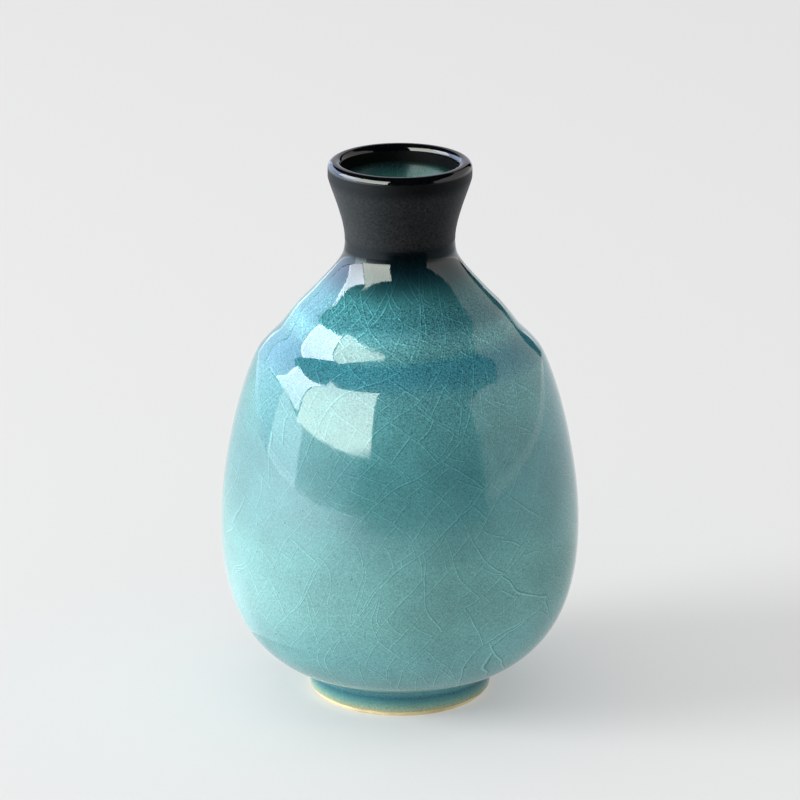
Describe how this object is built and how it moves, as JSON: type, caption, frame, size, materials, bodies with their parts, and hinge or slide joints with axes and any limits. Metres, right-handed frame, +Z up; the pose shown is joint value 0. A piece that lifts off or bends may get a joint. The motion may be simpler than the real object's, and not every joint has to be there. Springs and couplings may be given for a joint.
{
  "type": "sake bottle",
  "caption": "Thrown stoneware sake bottle with a full belly, sloping shoulder, short flared neck and turned foot, in turquoise crackle glaze with a black neck.",
  "frame": {"origin": "middle of the foot ring, on the plane that the bottle stands on", "axes": "+Z up along the bottle's axis, from the foot to the mouth; the bottle is the same all round, so +X and +Y are any two directions on the table"},
  "size_m": [0.0848, 0.0848, 0.13],
  "materials": {
    "stoneware": "matte",
    "turquoise_crackle_glaze": "gloss",
    "black_glaze": "gloss",
    "teal_liner_glaze": "gloss"
  },
  "bodies": {
    "root": {"clay_body": "stoneware", "body_glaze": "turquoise_crackle_glaze", "neck_glaze": "black_glaze", "liner_glaze": "teal_liner_glaze", "base_glaze": "turquoise_crackle_glaze"}
  },
  "joints": []
}
